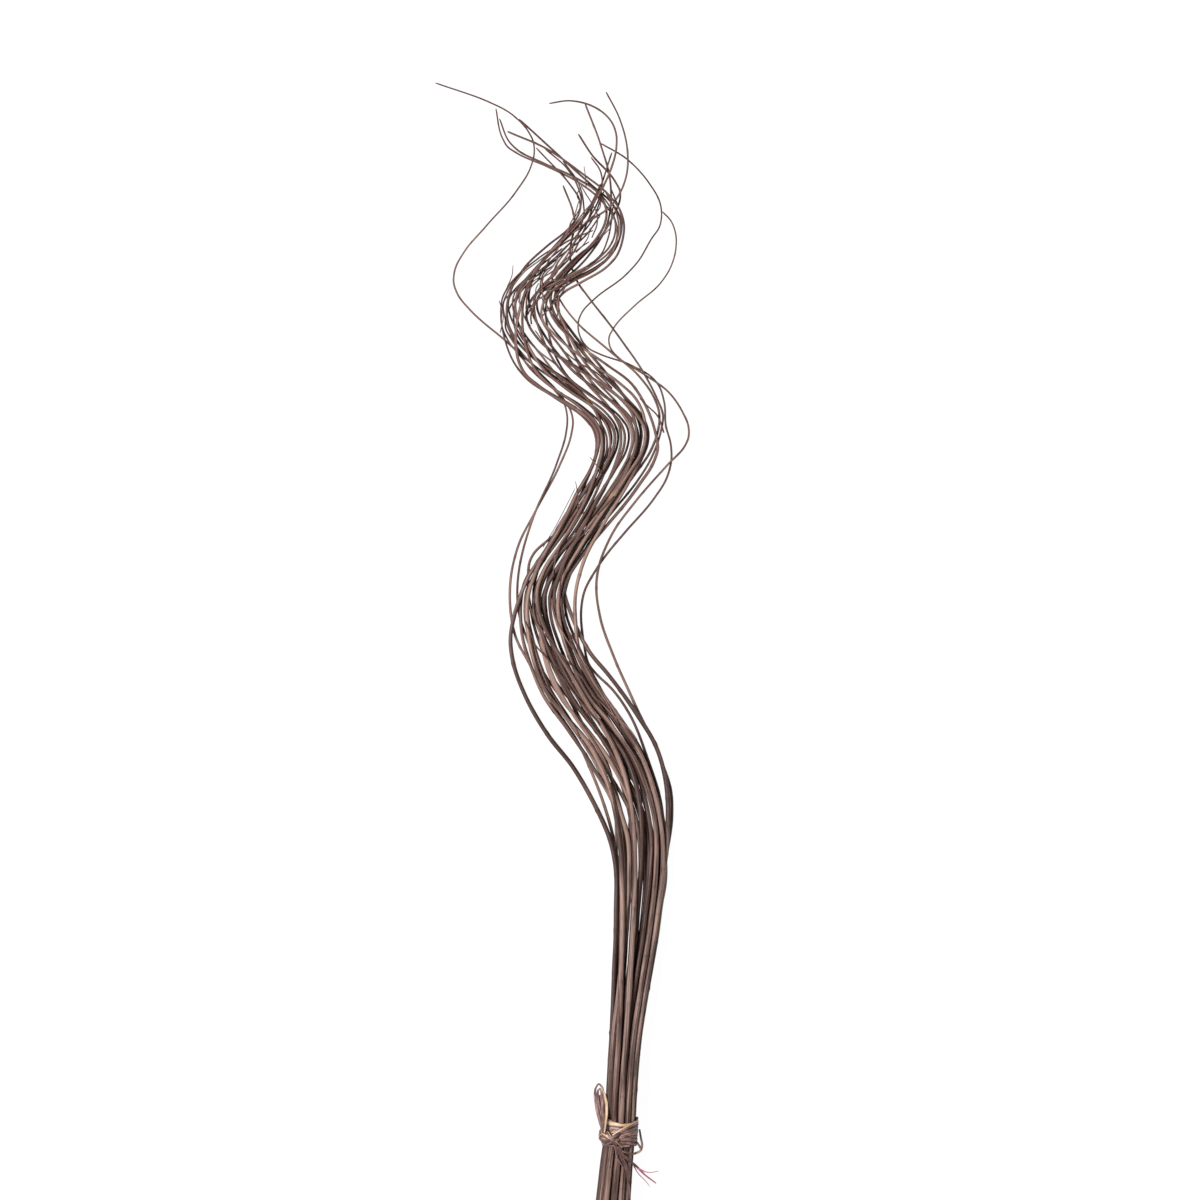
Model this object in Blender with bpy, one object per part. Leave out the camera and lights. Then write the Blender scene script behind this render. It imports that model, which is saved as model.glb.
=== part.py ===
"""Bundle of long curly dyed twigs, tied near the cut ends with split raffia and laid on a flat surface.

Lengths are in millimetres until a mesh is made. The bundle is drawn from its tie: x runs to the right,
y runs along the bundle toward the tips, and z is the height above the surface that it lies on.
"""
import math
import random

import bmesh
import bpy
import numpy as np
from mathutils import Vector

MM = 0.001
GAP = 0.3

TWIG_SIDES = 6
BUTT_RADIUS = (2.2, 3.3)
THIN_BUTT_RADIUS = (1.8, 2.2)
THIN_TWIGS = (0, 13, 14, 15, 16)
TIP_RADIUS = 0.6
TAPER = 0.72
TAPER_POWER = 1.2
TIP_SHARE = 0.75
TIP_STRETCH = 0.11
FACET_SWELL = 1.05
TIP_LIFT = (2.0, 24.0)
LIFT_LENGTH = 170.0

CUT_Y = -143.0
CUT_SPREAD = 14.0
TIE_HALF_WIDTH = 15.8
TIE_HALF_HEIGHT = 19.0
LAYER_MIX = 0.35
PACK_PASSES = 3000
TIGHT_PASSES = 2400
PACK_GAIN = 0.35
LEAN_ALLOWANCE = 1.012
STEM_STATIONS = (-68.0, -14.0, 0.0, 15.0, 50.0, 92.0)

WRAP_THICKNESS = 1.5
WRAP_CLEARANCE = 0.5
WRAP_RINGS = (-14.0, 0.0, 15.0)
TIE_MIDDLE = WRAP_THICKNESS + WRAP_CLEARANCE + TIE_HALF_HEIGHT
WRAP_CORNERS = 40

KNOT_Y = -4.5
KNOT_ANGLE = math.radians(117)
KNOT_HALF = (8.0, 6.0, 2.2)
KNOT_FACETS = (16, 10)
SHARP_ANGLE = math.radians(65)

# Loops and tails of the tie, as points (x, y, clearance), half widths along it, and half thickness.
STRAND_SIDES = 6
STRAND_STEP = 5.0
RAFFIA_STRANDS = {
    "raffia_folded_loop": (
        ((-15.5, 4, 2.2), (-17, 15, 2.6), (-19.5, 27, 3.5), (-20.5, 38, 4.5), (-20.5, 49, 5.0)),
        (2.2, 3.4, 5.0, 6.0, 5.4, 1.4), 1.4),
    "raffia_side_loop": (
        ((19.4, 3, 1.0), (20.8, -6, 2.5), (22, -13, 3.5), (20.5, -18, 4.0), (16, -20.5, 3.5),
         (9, -19.8, 2.6), (2, -17, 2.4)),
        (0.9, 0.9, 0.9), 0.7),
    "raffia_tail_long": (
        ((-1, -16, 1.0), (1, -24, 1.0), (6, -36, 1.0), (8, -48, 1.0), (9.5, -63, 1.0), (11, -80, 1.0)),
        (0.9, 0.8, 0.4), 0.5),
    "raffia_tail_short": (
        ((-4, -16, 2.4), (-3, -24, 2.4), (3, -33, 2.4)),
        (0.8, 0.7, 0.3), 0.5),
    "raffia_tail_right": (
        ((2, -21.5, 3.2), (13, -31, 3.0), (23, -41, 3.0), (36, -51, 2.0)),
        (0.9, 0.9, 0.7), 0.6),
    "raffia_tail_pink": (
        ((25, -39.5, 5.0), (31, -39.8, 6.0), (39, -38, 7.0)),
        (0.5, 0.4, 0.3), 0.4),
    "raffia_tail_pale": (
        ((14.5, -35.5, 4.6), (19, -42, 4.6), (25, -48, 4.4), (30, -54.5, 3.4)),
        (0.5, 0.4, 0.3), 0.4),
}

SAMPLE_STEP = 1.5
STEP_PER_LENGTH = 66.0
STEP_PER_TURN = 0.44

# How the twigs settle: passes, and per pass the sinking, stiffness, pull to the plan and parting.
SETTLE_PASSES = 500
CLEAR_PASSES = 500
SINK = 0.05
STIFFNESS = 0.25
PLAN_HOLD = 0.97
PUSH_GAIN = 0.9
PAIR_MARGIN = 1.5
PAIR_REFRESH = 8
SIDE_GIVE = np.array([0.35, 0.35, 1.0])
SINK_STRETCH = (92.0, 420.0)
WAVE_HEIGHT = 20.0

# Edges of the bundle as (y, left, right): cut ends, tie, neck, then the wave up to the thin tops.
BUNDLE = (
    (-143, -33, 7), (-68, -25, 11), (-14, -18, 14.5), (0, -15.8, 15.8), (15, -15.3, 16.2),
    (72, -13, 20), (132, -9, 28), (182, -5, 35), (232, -3, 43), (262, -3, 46),
    (297, -5, 46), (332, -11, 39), (372, -32, 27), (412, -57, 2), (452, -85, -23),
    (492, -102, -44), (522, -101, -52), (552, -94, -54), (592, -73, -30), (632, -45, -4),
    (662, -27, 16), (692, -23, 27), (712, -35, 30), (732, -60, 20), (752, -90, -4),
    (772, -112, -20), (802, -121, -48), (832, -122, -60), (852, -115, -42), (872, -98, -14),
    (892, -78, 0), (912, -52, 4), (932, -42, 0), (962, -48, -10),
)

# Where the twigs inside the bundle change places, from the neck up.
CROSSING_STATIONS = (232, 297, 372, 452, 537, 622, 700, 765, 832, 880)
CROSSING_DRIFT = 0.26
CROSSING_UNEVENNESS = 0.42
LEAST_RUN = 12.0

# Twigs that can be followed singly, each as points (x, y) from its tip down to where it joins.
LOOSE_TWIGS = (
    # far left tip and the wide loop below it
    ((-185, 1049), (-150, 1037), (-120, 1025), (-102, 1013), (-88, 994), (-87, 974), (-100, 948),
     (-130, 912), (-156, 882), (-167, 855), (-162, 837), (-145, 817), (-115, 791), (-88, 768)),
    # fine tip that runs into the upper band
    ((-101, 1013), (-80, 995), (-62, 977), (-45, 962), (-28, 947), (-9, 931), (0, 916), (1, 901),
     (-4, 885), (-15, 872), (-35, 859), (-56, 848)),
    # thick short tip that crosses to the right side
    ((-113, 1001), (-80, 987), (-60, 974), (-20, 945), (-3, 927), (4, 908), (2, 890), (-6, 873),
     (-22, 860), (-44, 847)),
    # pair of tips that start together
    ((-124, 1024), (-120, 1002), (-113, 986), (-95, 976), (-70, 965), (-50, 956), (-30, 942),
     (-14, 928), (-4, 912), (-3, 896), (-9, 880), (-20, 867), (-40, 855), (-62, 844)),
    ((-121, 1014), (-113, 994), (-106, 985), (-87, 974), (-63, 964), (-40, 952), (-22, 939),
     (-14, 922), (-18, 903), (-34, 882), (-54, 864)),
    # inner tip that swings out on the right
    ((-57, 947), (-52, 932), (-45, 912), (-49, 889), (-50, 877), (-42, 850), (-28, 831), (2, 791),
     (17, 768), (30, 749), (40, 725), (43, 714), (41, 702), (35, 682), (20, 655), (-2, 628)),
    ((-16, 942), (-30, 910), (-48, 888), (-64, 868), (-68, 851), (-54, 824), (-35, 802), (-8, 780),
     (20, 756), (35, 734), (40, 718), (38, 700), (30, 680), (16, 660), (-4, 634)),
    # top tips, from right to left
    ((-14, 1040), (-2, 1018), (5, 992), (8, 975), (7, 960), (1, 942), (-8, 928), (-22, 917),
     (-36, 908), (-52, 896), (-68, 881)),
    ((-71, 1029), (-50, 1032), (-28, 1027), (-10, 1013), (-3, 994), (-5, 977), (-10, 960), (-20, 939),
     (-32, 922), (-50, 900), (-72, 878)),
    ((-35, 1029), (-30, 1018), (-20, 990), (-12, 962), (-9, 937), (-14, 905), (-28, 882), (-46, 862)),
    ((-42, 998), (-35, 986), (-16, 965), (-1, 944), (0, 934), (-5, 920), (-16, 900), (-32, 880),
     (-52, 862)),
    ((-29, 975), (-20, 962), (-18, 950), (-22, 932), (-32, 914), (-48, 892), (-68, 872)),
    ((-8, 980), (-15, 962), (-20, 942), (-32, 920), (-50, 898), (-74, 876)),
    # right loop, then back along the right edge to the neck
    ((-19, 989), (8, 972), (30, 948), (41, 927), (40, 907), (30, 892), (14, 866), (-15, 842),
     (-30, 830), (-41, 815), (-41, 797), (-32, 784), (-10, 775), (20, 763), (37, 750), (44, 732),
     (46, 705), (52, 682), (47, 655), (30, 628), (0, 594), (-17, 572), (-30, 552), (-38, 532),
     (-38, 502), (-30, 465), (-15, 450), (5, 424), (20, 390), (32, 357), (40, 327), (45, 282),
     (46, 254), (42, 232)),
    # outer right loop
    ((42, 920), (50, 912), (56, 894), (53, 872), (44, 854), (20, 832), (0, 812), (-11, 795), (-7, 780),
     (20, 761), (50, 739), (67, 712), (69, 702), (67, 690), (50, 670), (28, 646), (0, 610), (-15, 585),
     (-22, 560), (-24, 537), (-18, 507), (-4, 469), (15, 427), (35, 385), (49, 347), (52, 322),
     (48, 292), (43, 250)),
    # left loops
    ((-20, 917), (-32, 900), (-60, 877), (-90, 852), (-110, 827), (-115, 807), (-105, 787), (-85, 764),
     (-65, 742), (-52, 727), (-47, 710), (-54, 682), (-68, 652), (-87, 617), (-102, 587), (-109, 557),
     (-110, 529), (-106, 500), (-90, 467), (-70, 432), (-40, 387), (-23, 347), (-12, 314), (-3, 277),
     (-1, 247)),
    ((-57, 972), (-48, 960), (-41, 948), (-37, 932), (-36, 917), (-44, 904), (-60, 889),
     (-84, 873), (-104, 855), (-117, 830), (-118, 806), (-106, 784), (-88, 765),
     (-68, 745), (-57, 732), (-53, 712), (-60, 678), (-72, 650), (-92, 602), (-101, 565), (-103, 535),
     (-98, 505)),
    ((-84, 985), (-72, 972), (-60, 959), (-46, 942), (-40, 928), (-44, 914), (-56, 900),
     (-76, 884), (-98, 862), (-112, 835), (-112, 808), (-98, 785), (-70, 762),
     (-42, 742), (-24, 720), (-17, 695), (-18, 672), (-32, 647), (-50, 617), (-70, 588), (-85, 567),
     (-102, 529), (-110, 492), (-105, 462), (-92, 430), (-68, 390), (-42, 357), (-20, 314), (-7, 282),
     (-4, 252), (-4, 222)),
    # kinked twig on the left edge
    ((-76, 985), (-54, 966), (-44, 949), (-39, 935), (-41, 921), (-50, 905), (-68, 884), (-88, 858),
     (-104, 832), (-106, 806), (-92, 782), (-62, 758),
     (-36, 738), (-20, 712), (-16, 690), (-22, 664), (-40, 632), (-60, 602), (-75, 589), (-88, 576),
     (-91, 560), (-90, 540), (-86, 516), (-74, 478)),
    # right edge twigs of the lower half
    ((-16, 940), (-8, 926), (-2, 910), (-3, 894), (-11, 880), (-26, 868), (-46, 856), (-66, 844),
     (-77, 830), (-78, 814), (-62, 795), (-38, 775),
     (-10, 756), (12, 738), (24, 715), (25, 692), (18, 668), (2, 640), (-20, 602), (-38, 567),
     (-45, 535), (-45, 512), (-42, 484), (-30, 457), (-12, 430), (8, 400), (24, 370), (34, 340),
     (40, 310), (43, 270)),
    ((-24, 944), (-13, 930), (-6, 916), (-5, 900), (-12, 884), (-28, 870), (-50, 858), (-72, 848),
     (-88, 834), (-94, 815), (-84, 796),
     (-64, 778), (-38, 760), (-10, 742), (10, 722), (16, 700), (14, 680), (2, 655), (-14, 630),
     (-32, 608), (-50, 585), (-58, 562), (-57, 542), (-47, 512), (-32, 482), (-13, 459), (10, 427),
     (30, 397), (42, 367), (47, 332), (48, 307), (45, 275)),
    ((-8, 942), (-2, 926), (2, 910), (-1, 892), (-9, 877), (-24, 864), (-45, 852), (-62, 840),
     (-70, 822), (-55, 800), (-30, 780),
     (-5, 762), (15, 745), (28, 722), (35, 702), (38, 687), (35, 674), (28, 660), (15, 642), (-4, 618)),
)

# Thin tops of the twigs that stay inside the bundle, as (height of the tip, place across at the tip).
INNER_TIPS = (
    (868, 0.12), (884, 0.35), (902, 0.55), (846, 0.30), (948, 0.62), (926, 0.80),
)

TWIG_COLOUR = (0.115, 0.083, 0.076)
RAFFIA_COLOUR = (0.17, 0.098, 0.08)

SEED = 3765
rng = random.Random(SEED)


def clear_scene():
    for item in list(bpy.data.objects):
        bpy.data.objects.remove(item, do_unlink=True)


def make_material(name, colour, roughness):
    material = bpy.data.materials.new(name)
    material.use_nodes = True
    shader = material.node_tree.nodes["Principled BSDF"]
    shader.inputs["Base Color"].default_value = (*colour, 1.0)
    shader.inputs["Roughness"].default_value = roughness
    shader.inputs["Metallic"].default_value = 0.0
    material.diffuse_color = (*colour, 1.0)
    return material


def smooth_curve(points, step):
    """Points every step along a Catmull-Rom curve through the given points."""
    pts = np.array(points, float)
    pts = np.vstack((2 * pts[0] - pts[1], pts, 2 * pts[-1] - pts[-2]))
    out = []
    for p0, p1, p2, p3 in zip(pts, pts[1:], pts[2:], pts[3:]):
        knots = np.cumsum([0.0] + [max(np.linalg.norm(b - a), 1e-6) ** 0.5
                                   for a, b in ((p0, p1), (p1, p2), (p2, p3))])
        count = max(2, int(np.linalg.norm(p2 - p1) / step))
        t = np.linspace(knots[1], knots[2], count, endpoint=False)[:, None]
        a1 = p0 + (p1 - p0) * (t - knots[0]) / (knots[1] - knots[0])
        a2 = p1 + (p2 - p1) * (t - knots[1]) / (knots[2] - knots[1])
        a3 = p2 + (p3 - p2) * (t - knots[2]) / (knots[3] - knots[2])
        b1 = a1 + (a2 - a1) * (t - knots[0]) / (knots[2] - knots[0])
        b2 = a2 + (a3 - a2) * (t - knots[1]) / (knots[3] - knots[1])
        out.append(b1 + (b2 - b1) * (t - knots[1]) / (knots[2] - knots[1]))
    out.append(pts[-2][None])
    return np.vstack(out)


EDGE_LINE = smooth_curve(BUNDLE, 4.0)


def edges_at(y):
    left = np.interp(y, EDGE_LINE[:, 0], EDGE_LINE[:, 1])
    right = np.interp(y, EDGE_LINE[:, 0], EDGE_LINE[:, 2])
    return left, right


def x_at(y, place):
    left, right = edges_at(y)
    return left + (right - left) * place


def place_at(x, y):
    left, right = edges_at(y)
    return (x - left) / (right - left)


def top_routes():
    """The drawn part of each twig, from its tip down, as a list of points."""
    routes = [list(route) for route in LOOSE_TWIGS]
    for tip_y, place in INNER_TIPS:
        routes.append([(x_at(tip_y, place), tip_y)])
    return routes


def thread_through_bundle(routes):
    """Carries every route down to the neck, with the twigs spread evenly at each crossing station."""
    places = [place_at(*route[-1]) for route in routes]
    for station in reversed(CROSSING_STATIONS):
        inside = [i for i, route in enumerate(routes) if route[-1][1] > station + LEAST_RUN]
        wish = {i: places[i] + rng.uniform(-CROSSING_DRIFT, CROSSING_DRIFT) for i in inside}
        for rank, i in enumerate(sorted(inside, key=wish.get)):
            uneven = rng.uniform(-CROSSING_UNEVENNESS, CROSSING_UNEVENNESS)
            places[i] = (rank + 0.5 + uneven) / len(inside)
            if station > CROSSING_STATIONS[0]:
                routes[i].append((x_at(station, places[i]), station))


def pack_at_tie(routes, radii):
    """Seats the twigs side by side inside the round tie, each as (x, height) from its middle."""
    count = len(routes)
    across = np.argsort(np.argsort([route[-1][0] for route in routes]))
    layer = np.argsort(np.argsort(radii + [rng.uniform(-LAYER_MIX, LAYER_MIX) for _ in routes]))
    a = (across + 0.5) / count * 2 - 1
    b = (layer + 0.5) / count * 2 - 1
    half = np.array([TIE_HALF_WIDTH, TIE_HALF_HEIGHT])
    seats = np.stack((a * np.sqrt(1 - b * b / 2), b * np.sqrt(1 - a * a / 2)), axis=1) * half
    for turn in range(PACK_PASSES):
        apart = seats[:, None] - seats[None]
        distance = np.linalg.norm(apart, axis=2) + np.eye(count)
        overlap = np.clip((radii[:, None] + radii[None]) * LEAN_ALLOWANCE + GAP - distance, 0, None)
        overlap *= 1 - np.eye(count)
        seats += (apart / distance[..., None] * overlap[..., None]).sum(axis=1) * PACK_GAIN
        if turn < TIGHT_PASSES:
            reach = np.linalg.norm(seats / (half - radii[:, None]), axis=1)
            seats /= np.maximum(reach, 1.0)[:, None]
    return seats


def twig_radius(butt, fraction):
    """Radius along a twig, from the cut end (0) to the tip (1), where it thins faster."""
    tapered = butt * (1 - TAPER * fraction ** TAPER_POWER)
    return np.maximum(tapered * np.minimum(1.0, TIP_SHARE + (1 - fraction) / TIP_STRETCH), TIP_RADIUS)


def spread_points(line):
    """Picks points along a line, close together in its bends and wide apart where it runs straight."""
    step = np.diff(line, axis=0)
    length = np.linalg.norm(step, axis=1)
    heading = np.unwrap(np.arctan2(step[:, 1], step[:, 0]))
    turn = np.abs(np.diff(heading, append=heading[-1]))
    cost = np.concatenate(([0.0], np.cumsum(length / STEP_PER_LENGTH + turn / STEP_PER_TURN)))
    count = math.ceil(cost[-1])
    return np.stack([np.interp(np.linspace(0, cost[-1], count + 1), cost, line[:, k])
                     for k in range(2)], axis=1)


def plan_twig(route, seat, cut_y):
    """Plan of one twig from its cut end to its tip: straight through the tie, then along its route."""
    stem = []
    for y in (cut_y, *STEM_STATIONS):
        left, right = edges_at(y)
        widen = (right - left) / (2 * TIE_HALF_WIDTH)
        stem.append(((left + right) / 2 + seat[0] * max(widen, 1.0), y))
    free = [stem[-2], stem[-1], *reversed(route)]
    curve = smooth_curve(free, SAMPLE_STEP)
    return np.vstack((stem[:-1], spread_points(curve[curve[:, 1] >= STEM_STATIONS[-1]])))


def nearest_on_segments(start_a, along_a, start_b, along_b):
    """Fractions along each pair of segments where they come closest."""
    between = start_a - start_b
    aa = (along_a ** 2).sum(axis=1)
    bb = (along_b ** 2).sum(axis=1)
    ab = (along_a * along_b).sum(axis=1)
    a_off = (along_a * between).sum(axis=1)
    b_off = (along_b * between).sum(axis=1)
    slack = np.maximum(aa * bb - ab ** 2, 1e-9)
    s = np.clip((ab * b_off - a_off * bb) / slack, 0, 1)
    t = np.clip((ab * s + b_off) / bb, 0, 1)
    s = np.clip((ab * t - a_off) / aa, 0, 1)
    return s, t


def close_pairs(points, radii, starts, owner):
    """Pairs of segments on different twigs whose boxes come within reach of each other."""
    margin = np.maximum(radii[starts], radii[starts + 1])[:, None] + GAP + PAIR_MARGIN
    low = np.minimum(points[starts], points[starts + 1]) - margin
    high = np.maximum(points[starts], points[starts + 1]) + margin
    meet = (low[:, None] <= high[None]).all(axis=2) & (high[:, None] >= low[None]).all(axis=2)
    meet &= owner[:, None] < owner[None]
    return np.nonzero(meet)


def part_twigs(points, radii, starts, pairs):
    """Moves every pair of twigs that is too close apart, and returns the worst closeness."""
    a, b = starts[pairs[0]], starts[pairs[1]]
    along_a, along_b = points[a + 1] - points[a], points[b + 1] - points[b]
    s, t = nearest_on_segments(points[a], along_a, points[b], along_b)
    apart = points[a] + along_a * s[:, None] - points[b] - along_b * t[:, None]
    distance = np.linalg.norm(apart, axis=1)
    reach = radii[a] * (1 - s) + radii[a + 1] * s + radii[b] * (1 - t) + radii[b + 1] * t + GAP
    short = np.clip(reach - distance, 0, None)
    push = apart / np.maximum(distance, 1e-6)[:, None] * SIDE_GIVE
    push[distance < 1e-3] = (0, 0, 1)
    push *= (short / np.maximum((push * push / SIDE_GIVE).sum(axis=1), 1e-6) ** 0.5)[:, None] / 2
    moved, count = np.zeros_like(points), np.full(len(points), 1e-9)
    for spot, sign, share in ((a, 1, 1 - s), (a + 1, 1, s), (b, -1, 1 - t), (b + 1, -1, t)):
        gain = share / np.maximum(share ** 2 + (1 - share) ** 2, 1e-6)
        np.add.at(moved, spot, sign * push * gain[:, None])
        np.add.at(count, spot, np.where(short > 0, share, 0))
    points += PUSH_GAIN * moved / np.maximum(count, 1.0)[:, None]
    return short.max(initial=0.0)


def settle_twigs(twigs):
    """Lets the springy twigs sink onto each other and the surface until none of them touch."""
    points = np.vstack([twig["points"] for twig in twigs])
    radii = np.concatenate([twig["radii"] for twig in twigs])
    floor = np.concatenate([twig["floor"] for twig in twigs])
    held = np.concatenate([twig["held"] for twig in twigs])
    sizes = [len(twig["points"]) for twig in twigs]
    ends = np.cumsum(sizes) - 1
    starts = np.setdiff1d(np.arange(len(points)), ends)
    owner = np.repeat(np.arange(len(twigs)), sizes)[starts]
    inner = np.setdiff1d(starts, np.concatenate(([0], ends[:-1] + 1)))
    plan = points[:, :2].copy()
    fixed = points[held].copy()
    for turn in range(SETTLE_PASSES + CLEAR_PASSES):
        if turn % PAIR_REFRESH == 0:
            pairs = close_pairs(points, radii, starts, owner)
        if turn < SETTLE_PASSES:
            points[:, 2] -= SINK
            level = (points[inner - 1, 2] + points[inner + 1, 2]) / 2
            points[inner, 2] += STIFFNESS * (level - points[inner, 2])
            points[ends, 2] += STIFFNESS * (points[ends - 1, 2] - points[ends, 2])
            drift = points[:, :2] - plan
            drift[inner] += STIFFNESS * ((drift[inner - 1] + drift[inner + 1]) / 2 - drift[inner])
            points[:, :2] = plan + drift * PLAN_HOLD
        closeness = part_twigs(points, radii, starts, pairs)
        points[:, 2] = np.maximum(points[:, 2], floor)
        points[held] = fixed
        if turn > SETTLE_PASSES and closeness < GAP / 3:
            break
    for twig, last in zip(twigs, ends):
        twig["points"] = points[last + 1 - len(twig["points"]):last + 1]


def tube_ring(centre, heading, radius_side, radius_up, sides):
    side = heading.cross(Vector((0, 0, 1))).normalized()
    rise = side.cross(heading).normalized()
    turns = [2 * math.pi * k / sides for k in range(sides)]
    return [centre + side * (radius_side * math.cos(t)) + rise * (radius_up * math.sin(t)) for t in turns]


def make_tube(name, points, half_widths, half_heights, sides, material, parent):
    """A closed solid along the points, with oval rings and flat ends."""
    points = [Vector(p) for p in points]
    body = bmesh.new()
    rings = []
    for k, point in enumerate(points):
        heading = (points[min(k + 1, len(points) - 1)] - points[max(k - 1, 0)]).normalized()
        ring = tube_ring(point, heading, half_widths[k], half_heights[k], sides)
        rings.append([body.verts.new(v * MM) for v in ring])
    for low, high in zip(rings, rings[1:]):
        for k in range(sides):
            body.faces.new((low[k], low[(k + 1) % sides], high[(k + 1) % sides], high[k]))
    body.faces.new(reversed(rings[0]))
    body.faces.new(rings[-1])
    return add_object(name, body, material, parent)


def add_object(name, body, material, parent):
    bmesh.ops.recalc_face_normals(body, faces=body.faces)
    mesh = bpy.data.meshes.new(name)
    body.to_mesh(mesh)
    body.free()
    mesh.materials.append(material)
    mesh.shade_smooth()
    mesh.set_sharp_from_angle(angle=SHARP_ANGLE)
    item = bpy.data.objects.new(name, mesh)
    bpy.context.scene.collection.objects.link(item)
    item.parent = parent
    return item


def plan_twigs():
    """Every twig as it leaves the tie, before it settles: points, radii, and the floor under it."""
    routes = top_routes()
    thread_through_bundle(routes)
    butts = np.array([rng.uniform(*(THIN_BUTT_RADIUS if i in THIN_TWIGS else BUTT_RADIUS))
                      for i in range(len(routes))])
    seats = pack_at_tie(routes, butts * FACET_SWELL)
    seats[:, 1] += WRAP_THICKNESS + WRAP_CLEARANCE - (seats[:, 1] - butts * FACET_SWELL).min()
    twigs = []
    for i in np.argsort(seats[:, 1]):
        plan = plan_twig(routes[i], seats[i], CUT_Y + rng.uniform(0, CUT_SPREAD))
        run = np.concatenate(([0.0], np.cumsum(np.linalg.norm(np.diff(plan, axis=0), axis=1))))
        radii = twig_radius(butts[i], run / run[-1]) * FACET_SWELL
        curl = rng.uniform(*TIP_LIFT) * np.clip(1 - (run[-1] - run) / LIFT_LENGTH, 0, 1) ** 2
        layer = WAVE_HEIGHT * len(twigs) / len(routes)
        height = np.interp(plan[:, 1], SINK_STRETCH, (seats[i, 1], layer))
        held = np.arange(len(plan)) < len(STEM_STATIONS)
        height[held] = seats[i, 1]
        floor = radii * math.cos(math.pi / TWIG_SIDES) + curl
        points = np.column_stack((plan, np.maximum(height, floor)))
        twigs.append({"points": points, "radii": radii, "floor": np.where(held, 0, floor), "held": held})
    return twigs


def make_twigs(material, parent):
    twigs = plan_twigs()
    settle_twigs(twigs)
    for number, twig in enumerate(twigs, 1):
        make_tube(f"twig_{number:02d}", twig["points"], twig["radii"], twig["radii"], TWIG_SIDES,
                  material, parent)
    return [(twig["points"], twig["radii"]) for twig in twigs]


def twigs_across(twigs, y):
    """Middle and radius of every twig where it passes y in the straight stem."""
    rows = []
    for points, radii in twigs:
        rows.append([np.interp(y, points[:, 1], column) for column in (points[:, 0], points[:, 2], radii)])
    return np.array(rows)


def hull_ring(section, offset):
    """Outline round all the twigs in a section, kept offset clear of them."""
    ring = []
    for k in range(WRAP_CORNERS):
        angle = 2 * math.pi * k / WRAP_CORNERS
        normal = np.array([math.cos(angle), math.sin(angle)])
        outermost = (section[:, :2] @ normal + section[:, 2]).argmax()
        ring.append(section[outermost, :2] + normal * (section[outermost, 2] + offset))
    return ring


def make_wraps(twigs, material, parent):
    """The turns of raffia round the bundle, as one band that lies flat on the surface."""
    body = bmesh.new()
    inner, outer = [], []
    for y in WRAP_RINGS:
        section = twigs_across(twigs, y)
        for rings, offset in ((inner, WRAP_CLEARANCE), (outer, WRAP_CLEARANCE + WRAP_THICKNESS)):
            spots = hull_ring(section, offset)
            rings.append([body.verts.new(Vector((x, y, max(z, 0.0))) * MM) for x, z in spots])
    count = WRAP_CORNERS
    for wall in (inner, outer):
        for low, high in zip(wall, wall[1:]):
            for k in range(count):
                body.faces.new((low[k], low[(k + 1) % count], high[(k + 1) % count], high[k]))
    for k in range(count):
        for near, far in ((inner[0], outer[0]), (inner[-1], outer[-1])):
            body.faces.new((near[k], near[(k + 1) % count], far[(k + 1) % count], far[k]))
    return add_object("raffia_wraps", body, material, parent)


def top_of_bundle(twigs, x, y, reach):
    """Height that a strand of half thickness reach needs to pass over the twigs at x, y."""
    section = twigs_across(twigs, y)
    apart = np.abs(section[:, 0] - x)
    clear = section[:, 2] + reach
    rise = np.sqrt(np.clip(clear ** 2 - apart ** 2, 0, None))
    return np.where(apart < clear, section[:, 1] + rise, 0.0).max()


def make_knot(twigs, material, parent):
    """The flattened knot, seated on the upper left of the wraps."""
    section = twigs_across(twigs, KNOT_Y)
    outward = np.array([math.cos(KNOT_ANGLE), math.sin(KNOT_ANGLE)])
    outermost = (section[:, :2] @ outward + section[:, 2]).argmax()
    offset = section[outermost, 2] + WRAP_CLEARANCE + WRAP_THICKNESS + GAP + KNOT_HALF[2]
    x, z = section[outermost, :2] + outward * offset
    body = bmesh.new()
    bmesh.ops.create_uvsphere(body, u_segments=KNOT_FACETS[0], v_segments=KNOT_FACETS[1], radius=1.0)
    bmesh.ops.scale(body, vec=Vector(KNOT_HALF) * MM, verts=body.verts)
    item = add_object("raffia_knot", body, material, parent)
    item.location = Vector((x, KNOT_Y, z)) * MM
    item.rotation_euler = (0.0, math.pi / 2 - KNOT_ANGLE, 0.0)


def over_bundle(twigs, x, y, half_width):
    """Height of the bundle's round outside under a strand of this half width at x, y."""
    left, right = edges_at(y)
    wrapped = WRAP_RINGS[0] - 1 < y < WRAP_RINGS[-1] + 1
    skin = WRAP_CLEARANCE + WRAP_THICKNESS + GAP if wrapped else 0.0
    tops = []
    for spot in np.linspace(x - half_width, x + half_width, 5):
        off_middle = min(abs(spot - (left + right) / 2) / ((right - left) / 2 + skin), 1.0)
        tops.append(TIE_MIDDLE + (TIE_HALF_HEIGHT + skin) * math.sqrt(1 - off_middle ** 2))
        tops.append(top_of_bundle(twigs, spot, y, GAP) + skin)
    return max(tops)


def make_strand(name, strand, twigs, material, parent):
    """A loop or tail of raffia from hand-set points (x, y, clearance over the bundle)."""
    route, half_width, half_height = strand
    curve = smooth_curve(route, STRAND_STEP)
    curve[:, 2] += [over_bundle(twigs, x, y, max(half_width)) for x, y, lift in curve]
    along = np.linspace(0, 1, len(curve))
    widths = np.interp(along, np.linspace(0, 1, len(half_width)), half_width)
    heights = np.full(len(curve), half_height)
    make_tube(name, curve, widths, heights, STRAND_SIDES, material, parent)


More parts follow.
